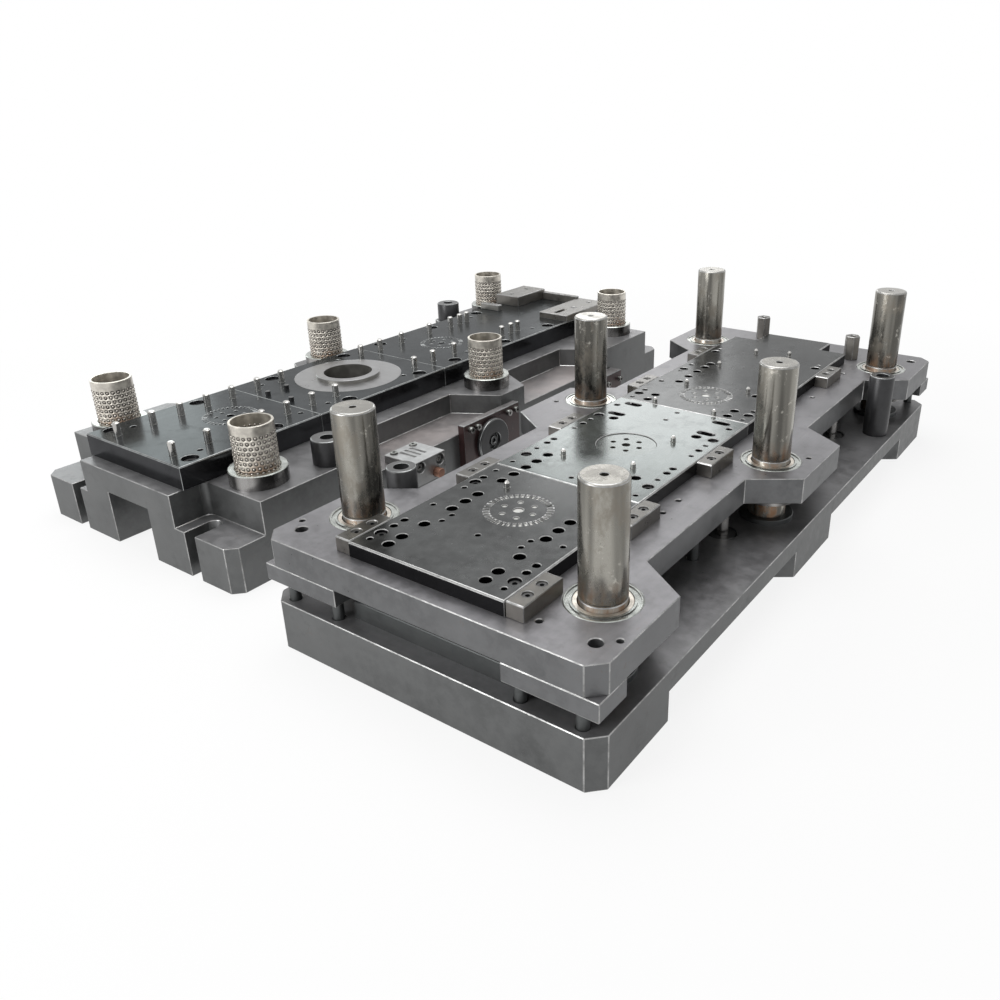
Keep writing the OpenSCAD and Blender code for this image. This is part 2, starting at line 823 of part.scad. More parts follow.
module side_block() {
    color([0.76, 0.77, 0.76]) on_lower() difference() {
        union() {
            translate([block_x0, block_y0, pocket_z])
                cube([block_x1 - block_x0, block_y1 - block_y0, block_top - pocket_z]);
            translate([lower_w / 2, block_y0, block_low])
                cube([block_x1 - lower_w / 2, block_y1 - block_y0, block_top - block_low]);
        }
        for (y = block_groove_y) translate([block_groove_x[0], y, block_top - block_groove_h])
            cube([block_groove_x[1] - block_groove_x[0], block_groove_w, block_groove_h + eps]);
        translate([block_x1 - side_rod_in, rod_y, rod_z]) rotate([0, 90, 0])
            cylinder(r = side_rod_r + seat_gap, h = side_rod_in + eps);
        for (p = block_side_places) translate([block_x1, p[0], p[1]]) rotate([0, 90, 0]) {
            translate([0, 0, -block_side_cbore_h])
                cylinder(d = block_side_cbore_d, h = block_side_cbore_h + eps);
            translate([0, 0, -block_side_cbore_h - block_side_shank_l - 2])
                cylinder(d = side_screw_d + 2 * seat_gap, h = block_side_shank_l + block_side_cbore_h);
        }
        for (p = block_screw_places) translate([p[0], p[1], 0])
            cbore(side_screw_d + 2 * seat_gap, side_head_d + 1, block_screw_seat, pocket_z, block_top);
    }
}

module side_rod() {
    color([0.6, 0.42, 0.36]) on_lower() translate([block_x1 - side_rod_in, rod_y, rod_z])
        rotate([0, 90, 0]) {
            cylinder(r = side_rod_r, h = side_rod_in + side_rod_out - 1);
            translate([0, 0, side_rod_in + side_rod_out - 1])
                cylinder(r1 = side_rod_r, r2 = side_rod_r - 1, h = 1);
        }
}

module side_screws() {
    top_seat = block_top - block_screw_seat;
    color([0.5, 0.48, 0.44]) on_lower() {
        for (y = side_near_screw_y)
            translate([lower_w / 2 + side_near_t + side_head_h, y, side_near_screw_z])
                rotate([0, 90, 0]) cap_screw(side_head_d, side_head_h, 0, side_screw_d, side_near_t);
        for (y = side_far_screw_y)
            translate([lower_w / 2 + side_far_t + side_head_h, y, side_far_screw_z])
                rotate([0, 90, 0])
                    cap_screw(side_head_d, side_head_h, 0, side_screw_d, side_far_t + side_screw_in);
        for (p = block_side_places)
            translate([block_x1 - block_side_cbore_h + side_head_h, p[0], p[1]])
                rotate([0, 90, 0])
                    cap_screw(side_head_d, side_head_h, 0, side_screw_d, block_side_shank_l);
        for (p = block_screw_places) translate([p[0], p[1], 0])
            cap_screw(side_head_d, side_head_h, top_seat + side_head_h,
                side_screw_d, top_seat - pocket_z + block_screw_in);
    }
}

module die_screws() {
    head_z = die_top - die_cbore_h + die_head_h;
    color([0.16, 0.16, 0.17]) on_lower() {
        both_sides() for (y = die_screw_y) translate([die_screw_x, y, 0])
            cap_screw(die_head_d, die_head_h, head_z, die_shank_d,
                die_t - die_cbore_h + die_thread_h);
        for (y = rail_screw_y) {
            translate([-rail_screw_x, y, 0]) cap_screw(rail_head_d, 8, die_top + rail_h - 1,
                rail_shank_d, rail_h - rail_cbore_h + rail_thread_h);
            translate([rail_screw_x, y, 0]) cap_screw(rail_head_d, 8, die_top + guide_h - 1,
                rail_shank_d, guide_h - rail_cbore_h + rail_thread_h);
        }
        for (p = stub_places) translate([p[0], p[1], die_top - stub_in])
            cylinder(d = stub_d - 2 * seat_gap, h = stub_in + stub_up);
    }
}

module ball_cage(i) {
    g = lower_guides[i];
    color([0.78, 0.74, 0.66]) on_lower() translate([g[0], g[1], cage_top - cage_l])
        cage(cage_l, cage_rows, 4, cage_band);
}

module lifter_pin(y) {
    translate([lifter_x, y, 0]) {
        translate([0, 0, lifter_head_z]) cylinder(d = lifter_head_d, h = lifter_head_h);
        translate([0, 0, lifter_head_z]) cylinder(d = lifter_d, h = die_top + lifter_up - 2 - lifter_head_z);
        translate([0, 0, die_top + lifter_up - 2]) cylinder(d1 = lifter_d, d2 = lifter_d - 4, h = 2);
    }
}

module lifter_pair(i) {
    color([0.7, 0.7, 0.68]) on_lower() both_sides() lifter_pin(lifter_y[i]);
}

// Upper half

module waisted_plan(near_l) {
    difference() {
        chamfered_plan(upper_w, shoe_l, upper_chamfer);
        both_sides() {
            edge_notch(upper_w / 2, waist_depth, waist_slope, near_l, mid_ear_y[0]);
            edge_notch(upper_w / 2, waist_depth, waist_slope, mid_ear_y[1], far_ear_y);
        }
    }
}

module upper_shoe() {
    color([0.47, 0.48, 0.48]) on_upper() difference() {
        union() {
            linear_extrude(upper_h) waisted_plan(shoe_ear_l);
            translate([0, 0, upper_h - upper_ledge]) linear_extrude(upper_ledge)
                chamfered_plan(upper_w, shoe_l, upper_chamfer);
        }
        for (g = upper_guides) translate([g[0], g[1], post_foot])
            cylinder(r = post_r + seat_gap, h = upper_h);
        both_sides() {
            for (y = spring_y) translate([spring_x, y, spring_foot])
                cylinder(r = spring_r + seat_gap, h = upper_h);
            for (p = bolt_places) translate([p[0], p[1], 0]) {
                drill(2 * (bolt_r + slide_gap), 0, upper_h);
                translate([0, 0, -eps]) cylinder(r = bolt_head_r + slide_gap, h = bolt_shoulder + eps);
            }
        }
    }
}

module guide_posts() {
    groove_z = stripper_top + post_groove_up;
    color([0.62, 0.6, 0.56]) on_upper() for (g = upper_guides) translate([g[0], g[1], 0])
        rotate_extrude($fn = 96) polygon([
            [0, post_foot], [post_r, post_foot],
            [post_r, groove_z], [post_r - post_groove_in, groove_z],
            [post_r - post_groove_in, groove_z + post_groove_w], [post_r, groove_z + post_groove_w],
            [post_r, post_top - post_chamfer],
            [post_r - post_chamfer, post_top], [post_hole_d / 2, post_top],
            [post_hole_d / 2, post_top - 12], [0, post_top - 16]
        ]);
}

module post_collars() {
    color([0.45, 0.44, 0.42]) on_upper() for (g = upper_guides) translate([g[0], g[1], upper_h])
        rotate_extrude() polygon([
            [post_r + seat_gap, 0], [post_collar_d / 2, 0], [post_collar_d / 2, collar_h - 1],
            [post_collar_d / 2 - 1, collar_h], [post_r + seat_gap, collar_h]
        ]);
}

module punch_plate() {
    color([0.4, 0.41, 0.41]) on_upper() difference() {
        bevelled_block(-punch_plate_w / 2, punch_plate_w / 2, punch_start, shoe_l - punch_start,
            upper_h, punch_top, 1);
        for (p = pilot_places) translate([p[0], p[1], pilot_foot])
            cylinder(d = pilot_d + 2 * seat_gap, h = punch_plate_t);
    }
}

module slot_punches() {
    color([0.66, 0.66, 0.63]) on_upper() for (y = [station_1, station_3]) translate([0, y, 0]) {
        translate([0, 0, punch_top]) cylinder(r = punch_block_r, h = punch_block_h);
        slot_ring(0, punch_top + 1, punch_tip);
        tie_ring() translate([0, 0, punch_top]) cylinder(d = tie_hole_d, h = punch_tip - punch_top);
        translate([0, 0, punch_top]) cylinder(d = shaft_hole_d, h = punch_tip - punch_top);
    }
}

module blanking_punch() {
    color([0.5, 0.5, 0.48]) on_upper() translate([0, station_2, 0]) difference() {
        translate([0, 0, punch_top]) cylinder(d = lamination_d, h = punch_tip - punch_top, $fn = 96);
        tie_ring() translate([0, 0, punch_tip - 8]) cylinder(d = tie_hole_d + 2, h = 8 + eps);
        translate([0, 0, punch_tip - 20]) cylinder(d = shaft_hole_d, h = 20 + eps);
    }
}

module pilots() {
    tip = insert_top + pilot_up;
    color([0.85, 0.85, 0.83]) on_upper() for (p = pilot_places) translate([p[0], p[1], 0]) {
        translate([0, 0, pilot_foot]) cylinder(d = pilot_d, h = tip - 3 - pilot_foot);
        translate([0, 0, tip - 3]) cylinder(d1 = pilot_d, d2 = pilot_d - 4, h = 3);
    }
}

module gas_springs() {
    color([0.2, 0.2, 0.21]) on_upper() both_sides() for (y = spring_y)
        translate([spring_x, y, 0]) rotate_extrude() polygon([
            [0, spring_foot], [spring_r, spring_foot], [spring_r, spring_top - 3],
            [spring_r - 3, spring_top], [rod_r + slide_gap, spring_top],
            [rod_r + slide_gap, rod_foot - stripper_travel - 4], [0, rod_foot - stripper_travel - 4]
        ]);
}

module upper_stops() {
    color([0.08, 0.08, 0.08]) on_upper() {
        translate([-stop_x, stop_y, 0]) stop_body(upper_stop_d, upper_h, upper_stop_h);
        translate([stop_x, stop_far_y, 0]) stop_body(upper_stop_d, upper_h, upper_stop_h);
    }
}

// Sprung stripper on the upper half

module relief_holes(z0, z1, y0, y1) {
    for (y = concat(lifter_y, spare_relief_y)) if (y > y0 && y < y1)
        translate([lifter_x, y, 0]) drill(relief_d, z0, z1);
    for (y = long_relief_y) if (y > y0 && y < y1)
        translate([long_relief_x, y, z0 - eps]) linear_extrude(z1 - z0 + 2 * eps) {
            offset_x = (long_relief_l - long_relief_w) / 2;
            translate([-offset_x, 0]) circle(d = long_relief_w);
            translate([offset_x, 0]) circle(d = long_relief_w);
            square([2 * offset_x, long_relief_w], center = true);
        }
}

module stripper_holder() {
    color([0.5, 0.51, 0.51]) on_upper() difference() {
        translate([0, 0, holder_z]) linear_extrude(holder_t) waisted_plan(near_ear_l);
        for (g = upper_guides) translate([g[0], g[1], 0])
            drill(guide_ring_d + 2 * seat_gap, holder_z, stripper_top);
        for (y = [station_1, station_2, station_3])
            translate([0, y, 0]) drill(2 * window_r, holder_z, stripper_top);
        for (p = pilot_places) translate([p[0], p[1], 0]) drill(pilot_d + 3, holder_z, stripper_top);
        both_sides() {
            relief_holes(stripper_top - relief_depth, stripper_top, 0, shoe_l);
            for (p = bolt_places) translate([p[0], p[1], holder_z - eps])
                cylinder(r = bolt_r + seat_gap, h = bolt_top - holder_z + 2);
            for (p = holder_holes) translate([p[0], p[1], stripper_top - holder_hole_h])
                cylinder(d = holder_hole_d, h = holder_hole_h + eps);
            for (y = insert_cbore_y) translate([insert_screw_x, y, stripper_top - insert_thread_h - 2])
                cylinder(d = insert_screw_d + 2 * seat_gap, h = holder_t);
            for (y = heel_y, dy = [heel_screw_in, heel_l - heel_screw_in])
                translate([heel_screw_x, y + dy, stripper_top - insert_thread_h - 2])
                    cylinder(d = insert_screw_d + 2 * seat_gap, h = holder_t);
            for (y = [lift_hole_y, shoe_l - lift_hole_y])
                translate([lift_hole_x, y, stripper_top - lift_hole_h])
                    cylinder(d = lift_hole_d, h = lift_hole_h + eps);
        }
    }
}

module stripper_pads() {
    color([0.5, 0.5, 0.49]) on_upper() both_sides() both_ends() difference() {
        translate([upper_w / 2 - pad_w, 0, pad_z]) cube([pad_w, pad_l, pad_t]);
        for (x = pad_bolt_x) translate([x, bolt_y, 0])
            drill(2 * (bolt_r + seat_gap), pad_z, holder_z);
    }
}

module insert_holes(y0, y1) {
    both_sides() {
        relief_holes(stripper_top, insert_top, y0, y1);
        for (y = insert_cbore_y) if (y > y0 && y < y1) translate([insert_screw_x, y, 0])
            cbore(insert_screw_d + 2 * seat_gap, insert_cbore_d, insert_cbore_h,
                stripper_top, insert_top);
        for (y = insert_dowel_y) if (y > y0 && y < y1)
            translate([insert_screw_x, y, 0]) drill(insert_dowel_d, stripper_top, insert_top);
        for (y = insert_tap_y) if (y > y0 && y < y1)
            translate([insert_screw_x, y, 0]) drill(insert_tap_d, stripper_top, insert_top);
    }
    for (p = pilot_places) if (p[1] > y0 && p[1] < y1)
        translate([p[0], p[1], 0]) drill(pilot_d + 2 * slide_gap, stripper_top, insert_top);
    for (p = middle_holes) if (p[1] > y0 && p[1] < y1)
        translate([p[0], p[1], 0]) drill(middle_hole_d, stripper_top, insert_top);
}

module slot_clearance() {
    slot_ring(slide_gap, stripper_top - eps, insert_top + eps);
    tie_ring() drill(tie_hole_d + 2 * slide_gap, stripper_top, insert_top);
    drill(shaft_hole_d + 2 * slide_gap, stripper_top, insert_top);
}

module insert_front() {
    color([0.36, 0.37, 0.37]) on_upper() difference() {
        bevelled_block(-insert_w / 2, insert_w / 2, insert_start, insert_joint_1,
            stripper_top, insert_top, plate_bevel);
        insert_holes(insert_start, insert_joint_1 - middle_hole_d / 2);
        translate([0, station_1, 0]) slot_clearance();
    }
}

module insert_middle() {
    color([0.6, 0.62, 0.6]) on_upper() difference() {
        bevelled_block(-insert_w / 2, insert_w / 2, insert_joint_1, insert_joint_2,
            stripper_top, insert_top, plate_bevel);
        insert_holes(insert_joint_1 + middle_hole_d / 2, insert_joint_2);
        translate([0, station_2, 0])
            drill(lamination_d + 2 * slide_gap, stripper_top, insert_top);
    }
}

module insert_rear() {
    end_y = shoe_l - insert_end;
    color([0.36, 0.38, 0.38]) on_upper() difference() {
        union() {
            bevelled_block(-insert_w / 2, insert_w / 2, insert_joint_2, end_y - tongue_l,
                stripper_top, insert_top, plate_bevel);
            bevelled_block(-tongue_w / 2, tongue_w / 2, end_y - tongue_l - 10, end_y,
                stripper_top, insert_top, plate_bevel);
        }
        insert_holes(insert_joint_2, end_y);
        translate([0, station_3, 0]) slot_clearance();
    }
}

module heel_blocks() {
    color([0.52, 0.5, 0.47]) on_upper() both_sides() for (y = heel_y) difference() {
        bevelled_block(heel_x, heel_x + heel_w, y, y + heel_l, stripper_top, insert_top, 1);
        for (dy = [heel_screw_in, heel_l - heel_screw_in]) translate([heel_screw_x, y + dy, 0])
            cbore(insert_screw_d + 2 * seat_gap, heel_cbore_d, heel_cbore_h,
                stripper_top, insert_top);
    }
}

module stripper_screws() {
    insert_head_z = insert_top - insert_cbore_h + insert_head_h;
    heel_head_z = insert_top - heel_cbore_h + insert_head_h;
    color([0.17, 0.17, 0.18]) on_upper() both_sides() {
        for (y = insert_cbore_y) translate([insert_screw_x, y, 0])
            cap_screw(insert_cbore_d - 2, insert_head_h, insert_head_z, insert_screw_d,
                insert_t - insert_cbore_h + insert_thread_h);
        for (y = heel_y, dy = [heel_screw_in, heel_l - heel_screw_in])
            translate([heel_screw_x, y + dy, 0])
                cap_screw(heel_cbore_d - 1, insert_head_h, heel_head_z, insert_screw_d,
                    insert_t - heel_cbore_h + insert_thread_h);
    }
}

module stripper_bushes() {
    foot = stripper_top - guide_ring_l;
    out_r = guide_ring_d / 2;
    color([0.55, 0.54, 0.5]) on_upper() for (g = upper_guides) translate([g[0], g[1], 0])
        rotate_extrude($fn = 96) polygon([
            [bush_r, foot], [out_r, foot], [out_r, stripper_top - 1], [out_r - 1, stripper_top],
            [groove_out, stripper_top], [groove_out, stripper_top - groove_h],
            [groove_in, stripper_top - groove_h], [groove_in, stripper_top],
            [flange_r + flange_gap, stripper_top], [flange_r + flange_gap, stripper_top - flange_seat],
            [bush_r, stripper_top - flange_seat]
        ]);
}

module stripper_cages() {
    color([0.8, 0.78, 0.72]) on_upper() for (g = upper_guides) translate([g[0], g[1], 0]) {
        translate([0, 0, small_cage_top - small_cage_l])
            cage(small_cage_l, small_cage_rows, 3, flange_t + 3);
        translate([0, 0, small_cage_top - flange_t]) difference() {
            cylinder(r = flange_r, h = flange_t);
            translate([0, 0, -eps]) cylinder(r = cage_in, h = flange_t + 2 * eps);
        }
    }
}

module stripper_bolts() {
    color([0.22, 0.22, 0.23]) on_upper() both_sides() for (p = bolt_places)
        translate([p[0], p[1], bolt_head_z]) difference() {
            union() {
                cylinder(r = bolt_head_r, h = bolt_head_h);
                cylinder(r = bolt_r, h = bolt_top - bolt_head_z);
            }
            translate([0, 0, -eps]) cylinder(d = bolt_head_r, h = bolt_head_h / 2, $fn = 6);
        }
}

module spring_rods() {
    color([0.8, 0.8, 0.8]) on_upper() both_sides() for (y = spring_y)
        translate([spring_x, y, rod_foot]) cylinder(r = rod_r, h = holder_z - rod_foot);
}

module hex_standoffs() {
    color([0.6, 0.59, 0.56]) on_upper() for (p = standoff_places)
        translate([p[0], shoe_l - p[1], stripper_top]) difference() {
            cylinder(d = standoff_af / cos(30), h = standoff_h, $fn = 6);
            translate([0, 0, standoff_h - standoff_hole_h])
                cylinder(d = standoff_hole_d, h = standoff_hole_h + eps);
        }
}

// Nodes

lower_shoe();
die_plate_front();
die_plate_middle();
die_plate_rear();
blanking_ring();
guide_bushes();
feed_rail();
guide_block_left();
guide_block_right();
end_bar();
lower_stops();
side_plate_near();
side_plate_far();
side_cover();
side_block();
side_screws();
side_rod();
die_screws();
upper_shoe();
guide_posts();
post_collars();
punch_plate();
slot_punches();
blanking_punch();
pilots();
gas_springs();
upper_stops();
stripper_holder();
stripper_pads();
insert_front();
insert_middle();
insert_rear();
heel_blocks();
stripper_screws();
stripper_bushes();
stripper_bolts();
spring_rods();
hex_standoffs();
stripper_cages();
for (i = [1 : len(lower_guides)])
    ball_cage(i - 1);
for (i = [1 : len(lifter_y)])
    lifter_pair(i - 1);
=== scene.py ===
"""Looks of the opened stamping die: materials, ball cages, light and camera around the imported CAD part."""
import math

import bpy
from mathutils import Matrix, Vector


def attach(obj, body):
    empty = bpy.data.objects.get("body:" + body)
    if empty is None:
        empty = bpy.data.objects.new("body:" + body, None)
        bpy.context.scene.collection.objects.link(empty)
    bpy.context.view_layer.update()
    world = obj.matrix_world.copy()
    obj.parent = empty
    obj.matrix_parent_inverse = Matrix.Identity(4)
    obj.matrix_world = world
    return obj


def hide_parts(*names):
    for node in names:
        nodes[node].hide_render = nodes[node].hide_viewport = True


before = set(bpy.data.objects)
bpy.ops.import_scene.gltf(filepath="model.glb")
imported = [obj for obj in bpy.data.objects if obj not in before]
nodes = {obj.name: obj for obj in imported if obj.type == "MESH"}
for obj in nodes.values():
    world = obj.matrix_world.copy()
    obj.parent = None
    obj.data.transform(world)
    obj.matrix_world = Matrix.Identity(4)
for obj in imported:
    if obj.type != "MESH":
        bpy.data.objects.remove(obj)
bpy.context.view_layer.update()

# Places that the part's source uses too, in metres
LOWER = (-0.344, -0.637)
UPPER = (0.341, -0.679)
SHOE_L = 1.316
POST_X = 0.198
POST_END = 0.120
MID_POST_LEFT = 0.617
MID_POST_RIGHT = 0.700
POCKET_FLOOR = 0.097
LIFTER_PAIRS = 14
LOWER_GUIDES = [
    (-POST_X, POST_END), (POST_X, POST_END),
    (-POST_X, MID_POST_LEFT), (POST_X, MID_POST_RIGHT),
    (-POST_X, SHOE_L - POST_END), (POST_X, SHOE_L - POST_END),
]

# Ball cages, in metres: walls, balls, and where the cages of each half start
BALL_RING = 0.033
BALL_R = 0.00285
CAGE_IN = 0.0313
CAGE_OUT = 0.0350
CAGE_BOTTOM = 0.129
CAGE_LENGTH = 0.112
CAGE_ROWS = 11
CAGE_BALLS = 24
SMALL_CAGE_BOTTOM = 0.1149
SMALL_CAGE_LENGTH = 0.057
SMALL_CAGE_ROWS = 5
SMALL_CAGE_BALLS = 20
FLANGE_R = 0.037
FLANGE_T = 0.003
RIM = 0.0005
FLANGE_RIM = 0.0006
# A near-black lining this far outside the inner wall closes the windows: painted shade behind the balls.
SHADE_LINER = 0.0004
WINDOW_GAP = 0.00045
END_MARGIN = 0.006

# Camera, solved from corners of the photograph: place in metres, turn in degrees, lens in pixels
CAMERA_PLACE = (1.01281, -1.31478, 0.73451)
CAMERA_AZIMUTH = 34.6892
CAMERA_RISE = 24.0267
CAMERA_ROLL = -0.4874
FOCAL_PX = 890.18
CENTRE_PX = (567.48, 471.17)
PICTURE_PX = 1000
SENSOR_MM = 36

# Floor and surroundings
FLOOR_HALF = 14.0
FLOOR_Z = -0.0005
FLOOR_TONE = 0.9
SOFT_LIGHT = 0.28


def add_camera():
    azimuth, rise, roll = map(math.radians, (CAMERA_AZIMUTH, CAMERA_RISE, CAMERA_ROLL))
    back = Vector((math.sin(azimuth) * math.cos(rise), -math.cos(azimuth) * math.cos(rise), math.sin(rise)))
    level = Vector((math.cos(azimuth), math.sin(azimuth), 0))
    right = level * math.cos(roll) + back.cross(level) * math.sin(roll)
    turn = Matrix((right, back.cross(right), back)).transposed().to_4x4()
    data = bpy.data.cameras.new("camera")
    cam = bpy.data.objects.new("camera", data)
    bpy.context.scene.collection.objects.link(cam)
    cam.matrix_world = Matrix.Translation(CAMERA_PLACE) @ turn
    data.sensor_width = SENSOR_MM
    data.lens = FOCAL_PX / PICTURE_PX * SENSOR_MM
    data.shift_x = 0.5 - CENTRE_PX[0] / PICTURE_PX
    data.shift_y = CENTRE_PX[1] / PICTURE_PX - 0.5
    data.clip_start, data.clip_end = 0.05, 50
    bpy.context.scene.camera = cam


# Materials
class Graph:
    """Short ways to add and join shader nodes."""

    def __init__(self, name):
        self.mat = bpy.data.materials.new(name)
        self.mat.use_nodes = True
        self.tree = self.mat.node_tree
        self.tree.nodes.clear()
        self.out = self.node("ShaderNodeOutputMaterial")
        self.bsdf = self.node("ShaderNodeBsdfPrincipled")
        self.join(self.bsdf.outputs["BSDF"], self.out.inputs["Surface"])
        self.place = self.node("ShaderNodeTexCoord").outputs["Object"]

    def node(self, kind, **props):
        n = self.tree.nodes.new(kind)
        for key, value in props.items():
            setattr(n, key, value)
        return n

    def join(self, a, b):
        self.tree.links.new(a, b)

    def put(self, socket, value):
        if hasattr(value, "is_linked"):
            self.join(value, socket)
        else:
            socket.default_value = value

    def noise(self, scale, detail=3.0, rough=0.55, stretch=(1, 1, 1)):
        place = self.place
        if stretch != (1, 1, 1):
            m = self.node("ShaderNodeMapping")
            m.inputs["Scale"].default_value = stretch
            self.join(place, m.inputs["Vector"])
            place = m.outputs["Vector"]
        n = self.node("ShaderNodeTexNoise")
        n.inputs["Scale"].default_value = scale
        n.inputs["Detail"].default_value = detail
        n.inputs["Roughness"].default_value = rough
        self.join(place, n.inputs["Vector"])
        return n.outputs["Fac"]

    def ramp(self, value, low, high, to_low=0.0, to_high=1.0):
        m = self.node("ShaderNodeMapRange")
        m.clamp = True
        self.put(m.inputs["Value"], value)
        m.inputs["From Min"].default_value = low
        m.inputs["From Max"].default_value = high
        m.inputs["To Min"].default_value = to_low
        m.inputs["To Max"].default_value = to_high
        return m.outputs["Result"]

    def math(self, kind, a, b=0.0):
        m = self.node("ShaderNodeMath", operation=kind)
        self.put(m.inputs[0], a)
        self.put(m.inputs[1], b)
        return m.outputs[0]

    def mix(self, factor, a, b):
        m = self.node("ShaderNodeMix", data_type="RGBA")
        self.put(m.inputs["Factor"], factor)
        for socket, value in ((m.inputs["A"], a), (m.inputs["B"], b)):
            if isinstance(value, tuple):
                value = (*value[:3], 1.0)
            self.put(socket, value)
        return m.outputs["Result"]

    def height(self):
        s = self.node("ShaderNodeSeparateXYZ")
        self.join(self.place, s.inputs["Vector"])
        return s.outputs["Z"]

    def facing_up(self):
        """1 on faces that look up or down, 0 on upright faces."""
        s = self.node("ShaderNodeSeparateXYZ")
        self.join(self.node("ShaderNodeTexCoord").outputs["Normal"], s.inputs["Vector"])
        return self.ramp(self.math("ABSOLUTE", s.outputs["Z"]), 0.3, 0.6)

    def bump(self, height, strength, distance, normal=None):
        b = self.node("ShaderNodeBump")
        b.inputs["Strength"].default_value = strength
        b.inputs["Distance"].default_value = distance
        self.join(height, b.inputs["Height"])
        if normal is not None:
            self.join(normal, b.inputs["Normal"])
        return b.outputs["Normal"]

    def surface(self, colour, metal, rough, normal):
        """Join colour, roughness and bump to the shader, and set how metallic it is."""
        self.join(colour, self.bsdf.inputs["Base Color"])
        self.bsdf.inputs["Metallic"].default_value = metal
        self.join(rough, self.bsdf.inputs["Roughness"])
        self.join(normal, self.bsdf.inputs["Normal"])
        return self.mat


def shade(colour, k):
    return tuple(min(1.0, c * k) for c in colour)


def lit_rust_film(g, blotch, floor):
    """1 where a thin film of rust lies on the faces at the height of a pocket floor; its colour is a rust
    tint made lighter as painted light in the shaded pocket.
    """
    under = g.ramp(g.height(), floor + 0.004, floor + 0.001)
    over = g.ramp(g.height(), floor - 0.004, floor - 0.001)
    film = g.math("MULTIPLY", g.math("MULTIPLY", under, over), g.ramp(blotch, 0.35, 0.6, 0.15, 0.7))
    return g.math("MULTIPLY", film, g.facing_up())


def steel(name, colour, rough, painted_side_tone=None, metal=0.85, spread=0.18, lines=0.4, line_axis="Y", rust=0.0,
          stain=0.25, graze=1.0, floor=None):
    """Ground steel: blotches, grinding lines, stains and rust specks. Its upright faces can take their own
    tone, which is painted shade and light against the upper faces.

    graze is how bright it mirrors at a flat angle, and floor the height of a floor with a film of rust, made
    lighter as painted light in the pocket.
    """
    rust_brown = (0.16, 0.07, 0.03)
    film_rust_lit = (0.40, 0.355, 0.345)
    g = Graph(name)
    blotch = g.noise(7.0, 5.0, 0.6)
    fine = g.noise(60.0, 4.0, 0.65)
    stretch = {"X": (0.03, 1, 1), "Y": (1, 0.03, 1), "Z": (1, 1, 0.03)}[line_axis]
    line = g.noise(520.0, 2.0, 0.6, stretch)
    wide_line = g.noise(90.0, 3.0, 0.6, stretch)
    base = g.mix(g.ramp(blotch, 0.32, 0.68), shade(colour, 1 - spread), shade(colour, 1 + spread))
    base = g.mix(g.ramp(wide_line, 0.35, 0.7, 0.0, 0.35), base, shade(colour, 0.75))
    base = g.mix(g.ramp(fine, 0.42, 0.62, 0.0, 0.3), base, shade(colour, 1.35))
    # Upright faces take their own tone here: painted shade and light, set by facing direction.
    if painted_side_tone:
        side = g.mix(g.ramp(blotch, 0.32, 0.68), shade(painted_side_tone, 1 - spread), shade(painted_side_tone, 1 + spread))
        side = g.mix(g.ramp(fine, 0.42, 0.62, 0.0, 0.35), side, shade(painted_side_tone, 1.4))
        base = g.mix(g.facing_up(), side, base)
    spots = g.ramp(g.noise(23.0, 6.0, 0.7), 0.56, 0.68, 0.0, stain)
    base = g.mix(spots, base, shade(painted_side_tone or colour, 0.45))
    if rust:
        specks = g.ramp(g.noise(120.0, 5.0, 0.7), 0.60, 0.70)
        specks = g.math("MULTIPLY", specks, g.ramp(blotch, 0.5, 0.62, 0.0, rust))
        base = g.mix(specks, base, rust_brown)
    # Reddish rust film, lighter than the steel round it: rust tint and painted light on the shaded pocket
    # floor.
    if floor:
        base = g.mix(lit_rust_film(g, blotch, floor), base, film_rust_lit)
    uneven = g.ramp(fine, 0.3, 0.7, rough * 0.8, rough * 1.25)
    uneven = g.math("ADD", uneven, g.ramp(blotch, 0.4, 0.7, 0.0, rough * 0.3))
    uneven = g.math("ADD", uneven, g.math("MULTIPLY", spots, 0.25))
    normal = g.bump(line, lines, 0.00012)
    normal = g.bump(g.noise(900.0, 2.0, 0.6), 0.25, 0.00008, normal)
    g.bsdf.inputs["Specular Tint"].default_value = (graze, graze, graze, 1.0)
    return g.surface(base, metal, uneven, normal)


def turned_steel(name, colour, top):
    """Polished round steel: broad upright light and dark bands, a painted reflection, fine turning marks and
    brown specks. The upper faces take a lighter tone, painted light.
    """
    rust_brown = (0.20, 0.10, 0.05)
    rough = 0.22
    g = Graph(name)
    band = g.noise(26.0, 2.0, 0.5, (1, 1, 0.05))
    fine = g.noise(420.0, 3.0, 0.6, (0.05, 0.05, 1))
    blotch = g.noise(60.0, 5.0, 0.7)
    # Upright light and dark bands: painted reflection.
    base = g.mix(g.ramp(band, 0.40, 0.60), shade(colour, 0.35), shade(colour, 1.7))
    # Lighter upper faces: painted light.
    ring = g.mix(g.ramp(blotch, 0.35, 0.65), shade(top, 0.75), shade(top, 1.15))
    base = g.mix(g.facing_up(), base, ring)
    specks = g.ramp(g.noise(110.0, 6.0, 0.7), 0.62, 0.70, 0.0, 0.6)
    base = g.mix(specks, base, rust_brown)
    uneven = g.ramp(blotch, 0.3, 0.7, rough * 0.8, rough * 1.4)
    return g.surface(base, 0.9, uneven, g.bump(fine, 0.2, 0.0001))


def worn_edge_highlight(name, colour):
    """Bare metal along the bevelled edges, lighter than the faces beside it: wear and a painted highlight.
    Brighter where it is rubbed and dull in between.
    """
    rough = 0.3
    g = Graph(name)
    rubbed = g.noise(45.0, 5.0, 0.7)
    base = g.mix(g.ramp(rubbed, 0.35, 0.62), shade(colour, 0.45), colour)
    uneven = g.ramp(rubbed, 0.3, 0.7, rough * 1.3, rough * 0.8)
    return g.surface(base, 0.85, uneven, g.bump(g.noise(300.0, 3.0, 0.6), 0.35, 0.00015))


